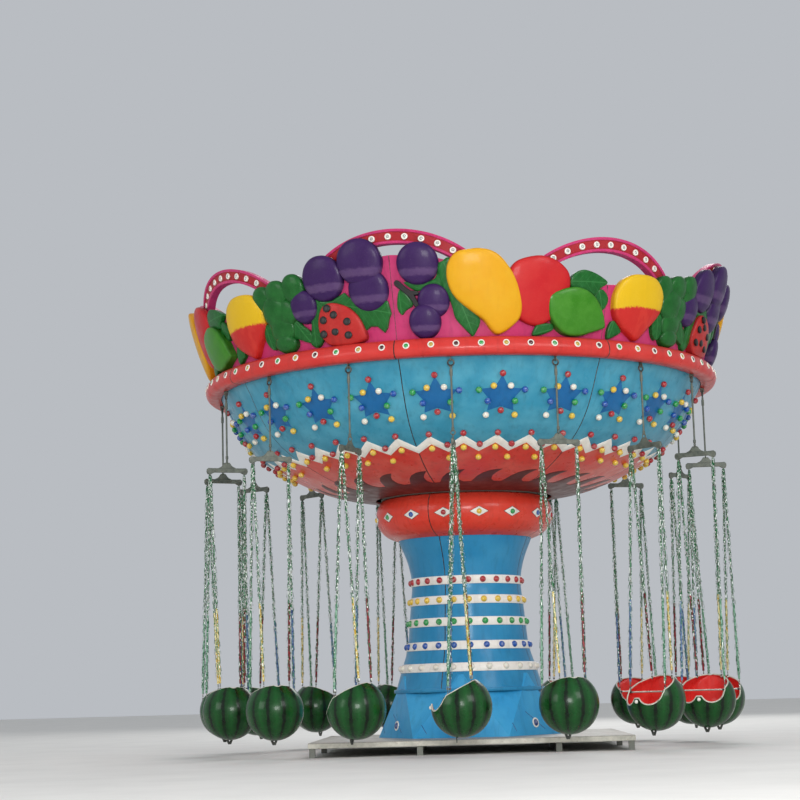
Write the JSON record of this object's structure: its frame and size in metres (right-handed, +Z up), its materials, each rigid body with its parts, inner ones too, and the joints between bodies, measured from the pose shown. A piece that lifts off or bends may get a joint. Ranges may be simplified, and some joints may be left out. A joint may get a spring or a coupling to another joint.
{
  "type": "chair swing ride",
  "caption": "Chair swing ride: a turning saucer with a fruit relief crown on a flared tower, with melon gondolas on rods, spreader bars and chains.",
  "frame": {"origin": "on the tower's axis at ground level", "axes": "+Z up along the axis of rotation, -Y towards the viewer of the picture, +X to the right"},
  "size_m": [6.5386, 6.5386, 5.54],
  "materials": {
    "galvanised_steel": "dull grey steel, weathered",
    "deck_plate": "chequer plate, worn",
    "tower_blue": "glossy gelcoat",
    "bowl_blue": "glossy gelcoat",
    "gelcoat_red": "glossy gelcoat",
    "crown_pink": "satin gelcoat",
    "melon_green": "glossy gelcoat with dark stripes"
  },
  "bodies": {
    "tower": {"base_frame": "galvanised_steel", "base_deck": "deck_plate", "tower_skirt": "tower_blue", "tower_shell": "tower_blue", "tower_collar": "gelcoat_red", "tower_mast": "galvanised_steel"},
    "rotor": {"rotor_frame": "galvanised_steel", "bowl_lower": "gelcoat_red", "bowl_upper": "bowl_blue", "rim_ring": "gelcoat_red", "top_cover": "bowl_blue", "crown_stays": "galvanised_steel", "crown_panel_1": "crown_pink", "crown_panel_2": "crown_pink", "crown_panel_3": "crown_pink", "crown_panel_4": "crown_pink", "crown_panel_5": "crown_pink", "crown_panel_6": "crown_pink", "crown_panel_7": "crown_pink", "crown_panel_8": "crown_pink", "crown_arch_1": "crown_pink", "crown_arch_2": "crown_pink", "crown_arch_3": "crown_pink", "crown_arch_4": "crown_pink", "crown_arch_5": "crown_pink", "crown_arch_6": "crown_pink", "crown_arch_7": "crown_pink", "crown_arch_8": "crown_pink"},
    "chair_01": {"hanger_01": "galvanised_steel", "gondola_01": "melon_green"},
    "chair_02": {"hanger_02": "galvanised_steel", "gondola_02": "melon_green"},
    "chair_03": {"hanger_03": "galvanised_steel", "gondola_03": "melon_green"},
    "chair_04": {"hanger_04": "galvanised_steel", "gondola_04": "melon_green"},
    "chair_05": {"hanger_05": "galvanised_steel", "gondola_05": "melon_green"},
    "chair_06": {"hanger_06": "galvanised_steel", "gondola_06": "melon_green"},
    "chair_07": {"hanger_07": "galvanised_steel", "gondola_07": "melon_green"},
    "chair_08": {"hanger_08": "galvanised_steel", "gondola_08": "melon_green"},
    "chair_09": {"hanger_09": "galvanised_steel", "gondola_09": "melon_green"},
    "chair_10": {"hanger_10": "galvanised_steel", "gondola_10": "melon_green"},
    "chair_11": {"hanger_11": "galvanised_steel", "gondola_11": "melon_green"},
    "chair_12": {"hanger_12": "galvanised_steel", "gondola_12": "melon_green"},
    "chair_13": {"hanger_13": "galvanised_steel", "gondola_13": "melon_green"},
    "chair_14": {"hanger_14": "galvanised_steel", "gondola_14": "melon_green"},
    "chair_15": {"hanger_15": "galvanised_steel", "gondola_15": "melon_green"},
    "chair_16": {"hanger_16": "galvanised_steel", "gondola_16": "melon_green"}
  },
  "joints": [
    {"name": "saucer_turn", "type": "hinge", "parent": "tower", "child": "rotor", "pos_m": [0, 0, 3], "axis": [0, 0, 1], "continuous": true},
    {"name": "chair_swing_01", "type": "hinge", "parent": "rotor", "child": "chair_01", "pos_m": [-0.08856, -2.89865, 4.155], "axis": [-0.9995, 0.0305, 0], "range_deg": [-10, 40]},
    {"name": "chair_swing_02", "type": "hinge", "parent": "rotor", "child": "chair_02", "pos_m": [1.02744, -2.71189, 4.155], "axis": [-0.9351, -0.3543, 0], "range_deg": [-10, 40]},
    {"name": "chair_swing_03", "type": "hinge", "parent": "rotor", "child": "chair_03", "pos_m": [1.98703, -2.11228, 4.155], "axis": [-0.7284, -0.6852, 0], "range_deg": [-10, 40]},
    {"name": "chair_swing_04", "type": "hinge", "parent": "rotor", "child": "chair_04", "pos_m": [2.64411, -1.19108, 4.155], "axis": [-0.4107, -0.9118, 0], "range_deg": [-10, 40]},
    {"name": "chair_swing_05", "type": "hinge", "parent": "rotor", "child": "chair_05", "pos_m": [2.89865, -0.08856, 4.155], "axis": [-0.0305, -0.9995, 0], "range_deg": [-10, 40]},
    {"name": "chair_swing_06", "type": "hinge", "parent": "rotor", "child": "chair_06", "pos_m": [2.71189, 1.02744, 4.155], "axis": [0.3543, -0.9351, 0], "range_deg": [-10, 40]},
    {"name": "chair_swing_07", "type": "hinge", "parent": "rotor", "child": "chair_07", "pos_m": [2.11228, 1.98703, 4.155], "axis": [0.6852, -0.7284, 0], "range_deg": [-10, 40]},
    {"name": "chair_swing_08", "type": "hinge", "parent": "rotor", "child": "chair_08", "pos_m": [1.19108, 2.64411, 4.155], "axis": [0.9118, -0.4107, 0], "range_deg": [-10, 40]},
    {"name": "chair_swing_09", "type": "hinge", "parent": "rotor", "child": "chair_09", "pos_m": [0.08856, 2.89865, 4.155], "axis": [0.9995, -0.0305, 0], "range_deg": [-10, 40]},
    {"name": "chair_swing_10", "type": "hinge", "parent": "rotor", "child": "chair_10", "pos_m": [-1.02744, 2.71189, 4.155], "axis": [0.9351, 0.3543, 0], "range_deg": [-10, 40]},
    {"name": "chair_swing_11", "type": "hinge", "parent": "rotor", "child": "chair_11", "pos_m": [-1.98703, 2.11228, 4.155], "axis": [0.7284, 0.6852, 0], "range_deg": [-10, 40]},
    {"name": "chair_swing_12", "type": "hinge", "parent": "rotor", "child": "chair_12", "pos_m": [-2.64411, 1.19108, 4.155], "axis": [0.4107, 0.9118, 0], "range_deg": [-10, 40]},
    {"name": "chair_swing_13", "type": "hinge", "parent": "rotor", "child": "chair_13", "pos_m": [-2.89865, 0.08856, 4.155], "axis": [0.0305, 0.9995, 0], "range_deg": [-10, 40]},
    {"name": "chair_swing_14", "type": "hinge", "parent": "rotor", "child": "chair_14", "pos_m": [-2.71189, -1.02744, 4.155], "axis": [-0.3543, 0.9351, 0], "range_deg": [-10, 40]},
    {"name": "chair_swing_15", "type": "hinge", "parent": "rotor", "child": "chair_15", "pos_m": [-2.11228, -1.98703, 4.155], "axis": [-0.6852, 0.7284, 0], "range_deg": [-10, 40]},
    {"name": "chair_swing_16", "type": "hinge", "parent": "rotor", "child": "chair_16", "pos_m": [-1.19108, -2.64411, 4.155], "axis": [-0.9118, 0.4107, 0], "range_deg": [-10, 40]}
  ]
}
